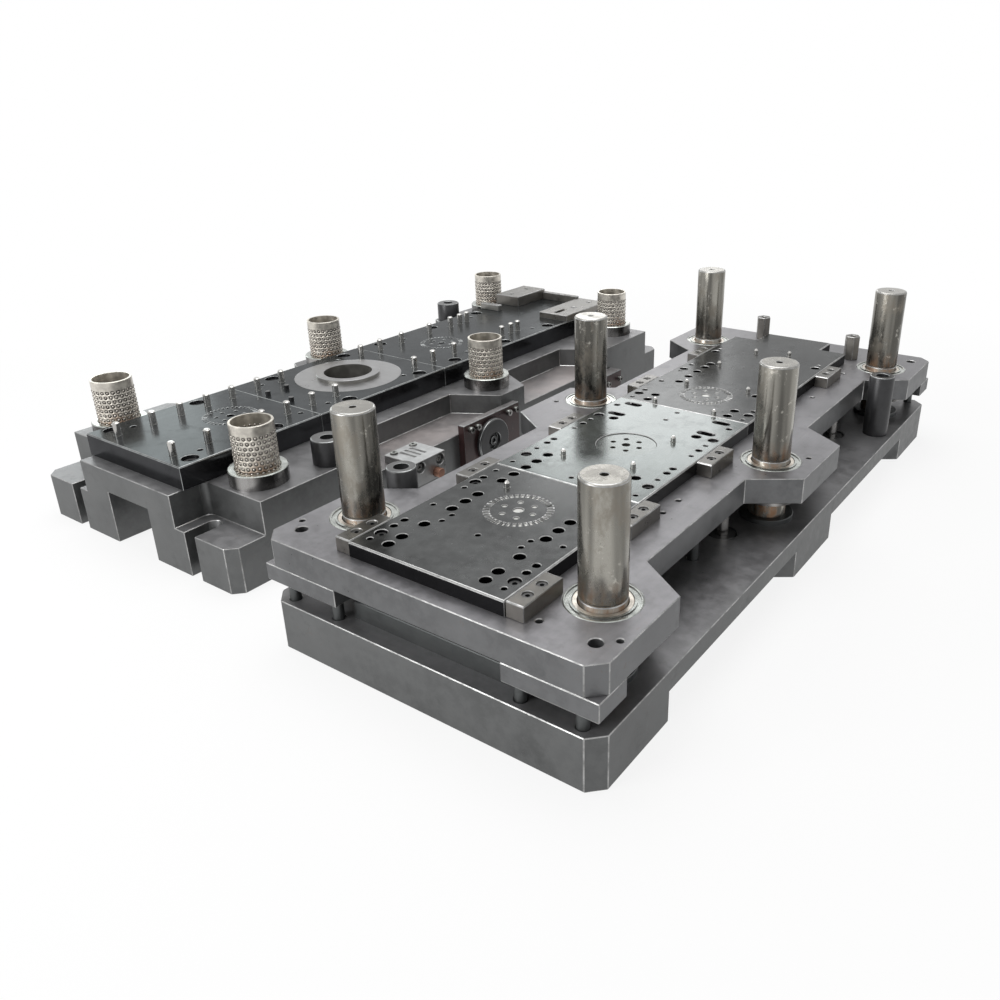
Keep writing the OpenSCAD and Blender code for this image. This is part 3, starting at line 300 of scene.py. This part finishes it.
def post_steel():
    """Polished guide post: upright light and dark streaks, a painted reflection, dull blotches and rust
    where it enters the stripper. The top face is lighter, painted light.
    """
    colour = (0.22, 0.212, 0.19)
    dull_brown = (0.20, 0.18, 0.15)
    bright = (0.55, 0.53, 0.48)
    rust_brown = (0.22, 0.115, 0.055)
    rust_low, rust_high = 0.176, 0.215
    g = Graph("post_worn_polish")
    reflection_streak = g.noise(34.0, 2.0, 0.5, (1, 1, 0.04))
    blotch = g.noise(26.0, 6.0, 0.72, (1, 1, 0.55))
    fine = g.noise(260.0, 3.0, 0.6, (1, 1, 0.12))
    # Upright light and dark streaks: painted reflection.
    base = g.mix(g.ramp(reflection_streak, 0.40, 0.60), shade(colour, 0.42), shade(colour, 1.55))
    base = g.mix(g.ramp(blotch, 0.50, 0.62, 0.0, 0.65), base, dull_brown)
    base = g.mix(g.ramp(g.noise(70.0, 5.0, 0.7), 0.60, 0.66, 0.0, 0.5), base, bright)
    rust = g.ramp(g.noise(75.0, 6.0, 0.7, (1, 1, 0.4)), 0.42, 0.60)
    rust = g.math("MULTIPLY", g.ramp(g.height(), rust_high, rust_low), rust)
    base = g.mix(g.math("MULTIPLY", rust, 0.8), base, rust_brown)
    # Lighter top face: painted light.
    top = g.mix(g.ramp(blotch, 0.4, 0.65), (0.27, 0.26, 0.235), (0.36, 0.35, 0.32))
    base = g.mix(g.facing_up(), base, top)
    dull = g.ramp(blotch, 0.45, 0.62, 0.17, 0.42)
    dull = g.math("ADD", dull, g.math("MULTIPLY", rust, 0.3))
    return g.surface(base, 0.92, dull, g.bump(blotch, 0.15, 0.0003, g.bump(fine, 0.25, 0.0001)))


def cage_metal(name, low, high):
    """Ball cage: warm bright metal with brown stains that grow from the height high down to low."""
    colour = (0.66, 0.625, 0.56)
    stain_brown = (0.24, 0.12, 0.06)
    g = Graph(name)
    blotch = g.noise(55.0, 5.0, 0.65)
    base = g.mix(g.ramp(blotch, 0.35, 0.68), shade(colour, 0.7), shade(colour, 1.2))
    stain = g.math("MULTIPLY", g.ramp(g.height(), high, low), g.ramp(g.noise(34.0, 5.0, 0.7), 0.42, 0.60))
    base = g.mix(g.math("MULTIPLY", stain, 0.75), base, stain_brown)
    uneven = g.ramp(blotch, 0.3, 0.7, 0.28, 0.46)
    return g.surface(base, 0.8, uneven, g.bump(g.noise(500.0, 3.0, 0.6), 0.3, 0.0001))


def ball_metal():
    """Polished steel balls, some of them darker."""
    g = Graph("ball_polish")
    base = g.mix(g.ramp(g.noise(130.0, 3.0, 0.6), 0.35, 0.65), (0.22, 0.20, 0.18), (0.50, 0.47, 0.43))
    uneven = g.ramp(g.noise(240.0, 3.0, 0.6), 0.3, 0.7, 0.12, 0.26)
    return g.surface(base, 1.0, uneven, g.bump(g.noise(1200.0, 2.0, 0.5), 0.1, 0.00005))


def painted_hollow_shade():
    """Painted shade: near-black walls of the windows round the balls and of the lining inside the cages."""
    g = Graph("cage_hollow")
    base = g.mix(g.ramp(g.noise(90.0), 0.4, 0.6), (0.018, 0.015, 0.012), (0.05, 0.042, 0.034))
    uneven = g.ramp(g.noise(200.0), 0.4, 0.6, 0.5, 0.7)
    return g.surface(base, 0.4, uneven, g.bump(g.noise(700.0), 0.3, 0.0001))


def painted(name, colour, rough, worn, top):
    """Blackened or painted steel with scuffs and blotches. The upper faces have their own, lighter tone."""
    g = Graph(name)
    blotch = g.noise(30.0, 5.0, 0.65)
    base = g.mix(g.ramp(blotch, 0.35, 0.7), shade(colour, 0.75), shade(colour, 1.35))
    scuffs = g.ramp(g.noise(150.0, 4.0, 0.7, (1, 1, 0.25)), 0.64, 0.72, 0.0, 0.35)
    base = g.mix(scuffs, base, worn)
    upper_tone = g.mix(g.ramp(blotch, 0.35, 0.7), shade(top, 0.7), shade(top, 1.3))
    base = g.mix(g.facing_up(), base, upper_tone)
    uneven = g.ramp(blotch, 0.3, 0.7, rough * 0.8, rough * 1.2)
    return g.surface(base, 0.25, uneven, g.bump(g.noise(420.0, 3.0, 0.6), 0.25, 0.00015))


def make_looks():
    """All materials, by the short name that the dressing lists use."""
    # The second colour of a steel is the tone of its upright faces: painted shade and light against the
    # upper faces.
    shoe_top_lit, shoe_side_shaded = (0.23, 0.229, 0.234), (0.125, 0.128, 0.128)
    shoe = dict(metal=0.6, spread=0.24, stain=0.22, rust=0.35, line_axis="X", graze=0.7)
    return {
        "shoe": steel("shoe_ground", shoe_top_lit, 0.34, shoe_side_shaded, **shoe),
        "shoe_low": steel("shoe_low_ground", shoe_top_lit, 0.34, shoe_side_shaded, floor=POCKET_FLOOR, **shoe),
        "holder": steel("holder_ground", (0.225, 0.222, 0.231), 0.33, (0.140, 0.142, 0.145), metal=0.6,
                        spread=0.24, stain=0.2, rust=0.25, graze=0.7),
        "die": steel("die_plate_dark", (0.095, 0.102, 0.106), 0.17, (0.05, 0.051, 0.054), lines=0.15,
                     graze=0.5),
        "insert": steel("insert_dark", (0.105, 0.108, 0.108), 0.2, (0.014, 0.014, 0.015), lines=0.2,
                        graze=0.6),
        # Middle insert: a lighter, greenish copy of the insert steel, a painted reflection.
        "insert_painted_sheen": steel("insert_painted_sheen", (0.15, 0.165, 0.162), 0.17, (0.06, 0.06, 0.06), lines=0.2,
                               stain=0.15, graze=0.8),
        "ring": steel("ring_bright", (0.27, 0.27, 0.272), 0.3, (0.24, 0.235, 0.22), lines=0.25,
                      stain=0.1, line_axis="X"),
        "bush": turned_steel("bush_polished", (0.20, 0.195, 0.19), (0.46, 0.48, 0.455)),
        "block": steel("block_warm", (0.13, 0.125, 0.115), 0.3, (0.20, 0.19, 0.175), rust=0.6),
        "pin": steel("pin_bright", (0.52, 0.51, 0.49), 0.18, metal=0.95, line_axis="Z"),
        "punch": steel("punch_steel", (0.50, 0.50, 0.48), 0.28, line_axis="Z"),
        "disc": steel("punch_disc", (0.17, 0.185, 0.18), 0.2, (0.30, 0.29, 0.27), lines=0.2, stain=0.15,
                      graze=0.8),
        "gap": steel("gap_steel", (0.10, 0.105, 0.105), 0.4, stain=0.3, line_axis="X"),
        "aluminium": steel("block_aluminium", (0.50, 0.51, 0.51), 0.34, (0.25, 0.25, 0.25), metal=0.75,
                           spread=0.1),
        "red": steel("pin_reddish", (0.32, 0.17, 0.12), 0.4, metal=0.7, line_axis="Z", rust=0.6),
        # Bevel faces: lighter bare metal, wear and painted highlight.
        "edge": worn_edge_highlight("edge_bare_highlight", (0.42, 0.42, 0.415)),
        "edge_dark": worn_edge_highlight("edge_plate_highlight", (0.34, 0.35, 0.35)),
        "post": post_steel(),
        "low_cage": cage_metal("cage_lower", 0.165, 0.205),
        "high_cage": cage_metal("cage_upper", 0.10, 0.20),
        "ball": ball_metal(),
        "hollow": painted_hollow_shade(),
        "black": painted("stop_black", (0.030, 0.030, 0.032), 0.36, worn=(0.14, 0.14, 0.14),
                         top=(0.09, 0.09, 0.09)),
        "screw": painted("screw_black", (0.026, 0.026, 0.028), 0.32, worn=(0.22, 0.22, 0.22),
                         top=(0.06, 0.06, 0.06)),
        "maroon": painted("plate_maroon", (0.040, 0.018, 0.018), 0.36, worn=(0.20, 0.14, 0.13),
                          top=(0.22, 0.21, 0.21)),
    }


def dress_nodes(looks):
    """Give each CAD node its material."""
    wear = {
        "shoe": ["upper_shoe"],
        "shoe_low": ["lower_shoe"],
        "holder": ["stripper_holder", "stripper_pads"],
        "die": ["die_plate_front", "die_plate_middle", "die_plate_rear"],
        "insert": ["insert_front", "insert_rear"],
        "insert_painted_sheen": ["insert_middle"],
        "ring": ["blanking_ring", "guide_block_left"],
        "bush": ["guide_bushes", "stripper_bushes", "side_screws"],
        "block": ["feed_rail", "guide_block_right", "end_bar", "heel_blocks", "hex_standoffs"],
        "red": ["side_rod"],
        "pin": ["pilots", "spring_rods"] + ["lifter_pair_%d" % i for i in range(1, LIFTER_PAIRS + 1)],
        "punch": ["slot_punches"],
        "disc": ["blanking_punch"],
        "gap": ["punch_plate", "post_collars", "stripper_bolts"],
        "aluminium": ["side_block"],
        "post": ["guide_posts"],
        "high_cage": ["stripper_cages"],
        "low_cage": ["ball_cage_%d" % i for i in range(1, len(LOWER_GUIDES) + 1)],
        "black": ["lower_stops", "upper_stops", "side_cover"],
        "screw": ["die_screws", "stripper_screws", "gas_springs"],
        "maroon": ["side_plate_near", "side_plate_far"],
    }
    for look, names in wear.items():
        for name in names:
            mesh = nodes[name].data
            mesh.materials.clear()
            mesh.materials.append(looks[look])


def bevel_nodes(looks):
    """Break sharp edges by modifiers, with light worn metal on the new faces, partly a painted highlight.
    The CAD nodes keep their shape.
    """
    widths = {
        0.0011: (["lower_shoe", "upper_shoe", "stripper_holder", "stripper_pads"], "edge"),
        0.0008: (["heel_blocks", "feed_rail", "guide_block_right", "guide_block_left", "end_bar",
                  "side_block", "hex_standoffs", "guide_posts"], "edge"),
        0.0009: (["insert_front", "insert_middle", "insert_rear"], "edge"),
        0.0007: (["die_plate_front", "die_plate_middle", "die_plate_rear", "side_plate_near",
                  "side_plate_far", "side_cover", "lower_stops", "upper_stops"], "edge_dark"),
    }
    same_point = 0.00001
    same_face = math.radians(1)
    sharp = math.radians(40)
    for width, (names, look) in widths.items():
        for name in names:
            obj = nodes[name]
            obj.data.materials.append(looks[look])
            weld = obj.modifiers.new("weld", "WELD")
            weld.merge_threshold = same_point
            flat = obj.modifiers.new("flat", "DECIMATE")
            flat.decimate_type = "DISSOLVE"
            flat.angle_limit = same_face
            bevel = obj.modifiers.new("bevel", "BEVEL")
            bevel.width = width
            bevel.segments = 1
            bevel.limit_method = "ANGLE"
            bevel.angle_limit = sharp
            bevel.use_clamp_overlap = False
            bevel.material = 1


# Ball cages with round balls in open windows
class Shell:
    """Plain lists of points and faces, with a material number and a smooth flag for each face."""

    WALL, BALL, HOLLOW = 0, 1, 2

    def __init__(self):
        self.points, self.faces, self.slots, self.smooth = [], [], [], []

    def ring(self, r, z, count=80):
        start = len(self.points)
        for i in range(count):
            a = i * math.tau / count
            self.points.append((r * math.cos(a), r * math.sin(a), z))
        return list(range(start, start + count))

    def strip(self, low, high, slot=WALL, smooth=True):
        count = len(low)
        for i in range(count):
            j = (i + 1) % count
            self.faces.append((low[i], low[j], high[j], high[i]))
            self.slots.append(slot)
            self.smooth.append(smooth)

    def band(self, r0, z0, r1, z1, slot=WALL, smooth=True):
        self.strip(self.ring(r0, z0), self.ring(r1, z1), slot, smooth)

    def ball(self, centre, r, across=14, up=8):
        start = len(self.points)
        cx, cy, cz = centre
        self.points.append((cx, cy, cz - r))
        for j in range(1, up):
            t = math.pi * j / up
            for i in range(across):
                a = i * math.tau / across
                out = r * math.sin(t)
                self.points.append((cx + out * math.cos(a), cy + out * math.sin(a), cz - r * math.cos(t)))
        self.points.append((cx, cy, cz + r))
        last = len(self.points) - 1
        for i in range(across):
            j = (i + 1) % across
            self.faces.append((start, start + 1 + j, start + 1 + i))
            for k in range(up - 2):
                row = start + 1 + k * across
                self.faces.append((row + i, row + j, row + across + j, row + across + i))
            row = start + 1 + (up - 2) * across
            self.faces.append((row + i, row + j, last))
        made = across * up
        self.slots += [self.BALL] * made
        self.smooth += [True] * made

    def mesh(self, name, offsets=((0, 0),)):
        count = len(self.points)
        points, faces = [], []
        for n, (x, y) in enumerate(offsets):
            points += [(p[0] + x, p[1] + y, p[2]) for p in self.points]
            faces += [tuple(v + n * count for v in f) for f in self.faces]
        mesh = bpy.data.meshes.new(name)
        mesh.from_pydata(points, [], faces)
        mesh.polygons.foreach_set("material_index", self.slots * len(offsets))
        mesh.polygons.foreach_set("use_smooth", self.smooth * len(offsets))
        mesh.update()
        return mesh


def add_window(shell, angle, z, step_a, pitch_z):
    """One patch of the cage's wall, step_a wide and pitch_z high, with a round window and its ball."""
    steps = 4
    window = BALL_R + WINDOW_GAP
    border, hole, deep = [], [], []

    def on_wall(r, a, height):
        shell.points.append((r * math.cos(a), r * math.sin(a), height))
        return len(shell.points) - 1

    for k in range(4 * steps):
        side, t = divmod(k, steps)
        w = t / steps - 0.5
        u, v = [(w, -0.5), (0.5, w), (-w, 0.5), (-0.5, -w)][side]
        border.append(on_wall(CAGE_OUT, angle + u * step_a, z + v * pitch_z))
        way = math.atan2(v * pitch_z, u * step_a * CAGE_OUT)
        turn, lift = window * math.cos(way) / CAGE_OUT, window * math.sin(way)
        hole.append(on_wall(CAGE_OUT, angle + turn, z + lift))
        deep.append(on_wall(CAGE_IN + SHADE_LINER, angle + turn, z + lift))
    shell.strip(border, hole)
    # Near-black window walls: painted shade round each ball.
    shell.strip(hole, deep, Shell.HOLLOW, False)
    shell.ball((BALL_RING * math.cos(angle), BALL_RING * math.sin(angle), z), BALL_R)


def cage_shell(bottom, length, rows, balls_round, first_row, band, flange=False):
    """One ball cage round the Z axis. Each ball sits in a round window of a wall with real thickness."""
    pitch_z = (length - band - END_MARGIN) / rows
    centre_z = bottom + first_row + BALL_R
    step_a = math.tau / balls_round
    shell = Shell()
    for row in range(rows):
        for i in range(balls_round):
            add_window(shell, (i + (row % 2) / 2) * step_a, centre_z + row * pitch_z, step_a, pitch_z)
    low, top = centre_z - pitch_z / 2, bottom + length
    high = low + rows * pitch_z
    shell.band(CAGE_OUT, bottom, CAGE_OUT, low)
    shell.band(CAGE_IN, bottom, CAGE_OUT, bottom, Shell.WALL, False)
    # Near-black inner wall on the flanged cage and a near-black lining: painted shade seen through the
    # windows.
    shell.band(CAGE_IN, top, CAGE_IN, bottom, Shell.HOLLOW if flange else Shell.WALL)
    shell.band(CAGE_IN + SHADE_LINER, bottom, CAGE_IN + SHADE_LINER, top, Shell.HOLLOW)
    rim = FLANGE_RIM if flange else RIM
    head_r = FLANGE_R if flange else CAGE_OUT
    if flange:
        shell.band(CAGE_OUT, high, CAGE_OUT, top - FLANGE_T)
        shell.band(CAGE_OUT, top - FLANGE_T, FLANGE_R, top - FLANGE_T, Shell.WALL, False)
        shell.band(FLANGE_R, top - FLANGE_T, FLANGE_R, top - rim)
    else:
        shell.band(CAGE_OUT, high, CAGE_OUT, top - rim)
    shell.band(head_r, top - rim, head_r - rim, top, Shell.WALL, False)
    shell.band(head_r - rim, top, CAGE_IN, top, Shell.WALL, False)
    return shell


def place_cage(looks, name, mesh, where, node, body, wall):
    """Put a cage in place of its CAD node, on the body that carries it."""
    obj = bpy.data.objects.new(name, mesh)
    bpy.context.scene.collection.objects.link(obj)
    obj.location = where
    if not mesh.materials:
        for look in (wall, "ball", "hollow"):
            mesh.materials.append(looks[look])
    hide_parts(node)
    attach(obj, body)


def add_cages(looks):
    shell = cage_shell(CAGE_BOTTOM, CAGE_LENGTH, CAGE_ROWS, CAGE_BALLS, first_row=0.004, band=0.012)
    mesh = shell.mesh("ball_cage_mesh")
    for i, (x, y) in enumerate(LOWER_GUIDES, 1):
        place_cage(looks, "ball_cage_balls_%d" % i, mesh, (x + LOWER[0], y + LOWER[1], 0),
                   "ball_cage_%d" % i, "cage_%d" % i, "low_cage")
    shell = cage_shell(SMALL_CAGE_BOTTOM, SMALL_CAGE_LENGTH, SMALL_CAGE_ROWS, SMALL_CAGE_BALLS,
                       first_row=0.003, band=0.006, flange=True)
    places = [(UPPER[0] - x, y + UPPER[1]) for x, y in LOWER_GUIDES]
    mesh = shell.mesh("small_cage_mesh", places)
    place_cage(looks, "upper_cages_balls", mesh, (0, 0, 0), "stripper_cages", "upper_cages", "high_cage")


# Stage and light
def add_world():
    """White to the camera, mirrors and glass, and a soft even light on the object."""
    world = bpy.data.worlds.new("world")
    bpy.context.scene.world = world
    world.use_nodes = True
    t = world.node_tree
    t.nodes.clear()
    out = t.nodes.new("ShaderNodeOutputWorld")
    mix = t.nodes.new("ShaderNodeMixShader")
    soft = t.nodes.new("ShaderNodeBackground")
    white = t.nodes.new("ShaderNodeBackground")
    soft.inputs["Color"].default_value = (1, 1, 1, 1)
    soft.inputs["Strength"].default_value = SOFT_LIGHT
    white.inputs["Color"].default_value = (1, 1, 1, 1)
    white.inputs["Strength"].default_value = 1.0
    path = t.nodes.new("ShaderNodeLightPath")
    seen = t.nodes.new("ShaderNodeMath")
    seen.operation = "MAXIMUM"
    seen_through = t.nodes.new("ShaderNodeMath")
    seen_through.operation = "MAXIMUM"
    t.links.new(path.outputs["Is Camera Ray"], seen.inputs[0])
    t.links.new(path.outputs["Is Glossy Ray"], seen.inputs[1])
    t.links.new(seen.outputs[0], seen_through.inputs[0])
    t.links.new(path.outputs["Is Transmission Ray"], seen_through.inputs[1])
    t.links.new(seen_through.outputs[0], mix.inputs["Fac"])
    t.links.new(soft.outputs[0], mix.inputs[1])
    t.links.new(white.outputs[0], mix.inputs[2])
    t.links.new(mix.outputs[0], out.inputs["Surface"])


def floor_white():
    """Nearly white floor that keeps the object's shadow near it and turns pure white farther out."""
    near, far = 0.9, 1.8
    g = Graph("floor_white")
    diffuse = g.node("ShaderNodeBsdfDiffuse")
    diffuse.inputs["Color"].default_value = (FLOOR_TONE, FLOOR_TONE, FLOOR_TONE, 1)
    glow = g.node("ShaderNodeEmission")
    glow.inputs["Color"].default_value = (1, 1, 1, 1)
    glow.inputs["Strength"].default_value = 1.0
    blend = g.node("ShaderNodeMixShader")
    path = g.node("ShaderNodeLightPath")
    seen = g.math("MAXIMUM", path.outputs["Is Camera Ray"], path.outputs["Is Glossy Ray"])
    seen = g.math("MAXIMUM", seen, path.outputs["Is Transmission Ray"])
    away = g.node("ShaderNodeVectorMath", operation="LENGTH")
    g.join(g.place, away.inputs[0])
    share = g.ramp(away.outputs["Value"], near, far, 0.86, 1.0)
    g.join(g.math("MULTIPLY", seen, share), blend.inputs["Fac"])
    g.join(diffuse.outputs[0], blend.inputs[1])
    g.join(glow.outputs[0], blend.inputs[2])
    g.join(blend.outputs[0], g.out.inputs["Surface"])
    return g.mat


def add_floor():
    mesh = bpy.data.meshes.new("floor")
    corners = [(-1, -1), (1, -1), (1, 1), (-1, 1)]
    mesh.from_pydata([(x * FLOOR_HALF, y * FLOOR_HALF, FLOOR_Z) for x, y in corners], [], [(0, 1, 2, 3)])
    floor = bpy.data.objects.new("floor", mesh)
    bpy.context.scene.collection.objects.link(floor)
    mesh.materials.append(floor_white())


def area(name, where, aim, size, power, colour=(1, 1, 1)):
    data = bpy.data.lights.new(name, "AREA")
    data.shape = "RECTANGLE"
    data.size, data.size_y = size
    data.energy = power
    data.color = colour
    lamp = bpy.data.objects.new(name, data)
    bpy.context.scene.collection.objects.link(lamp)
    lamp.location = where
    lamp.rotation_mode = "QUATERNION"
    lamp.rotation_quaternion = (Vector(aim) - Vector(where)).to_track_quat("-Z", "Y")


def add_lamps():
    """Place, aim and size in metres, power in watts."""
    area("lamp_top", where=(-0.3, 0.2, 2.9), aim=(0, 0, 0.1), size=(2.6, 2.6), power=66)
    area("lamp_back", where=(-1.6, 3.1, 1.6), aim=(0.3, 0, 0.2), size=(1.2, 0.8), power=9)
    area("lamp_front", where=(-0.9, -3.0, 1.5), aim=(0.1, -0.3, 0.1), size=(1.6, 1.2), power=46)
    area("lamp_left", where=(-2.7, 0.45, 0.95), aim=(-0.45, -0.45, 0.2), size=(1.0, 0.8), power=5,
         colour=(0.92, 1.0, 0.98))


looks = make_looks()
dress_nodes(looks)
bevel_nodes(looks)
add_cages(looks)
add_camera()
add_world()
add_floor()
add_lamps()
bpy.context.scene.view_settings.view_transform = "Standard"
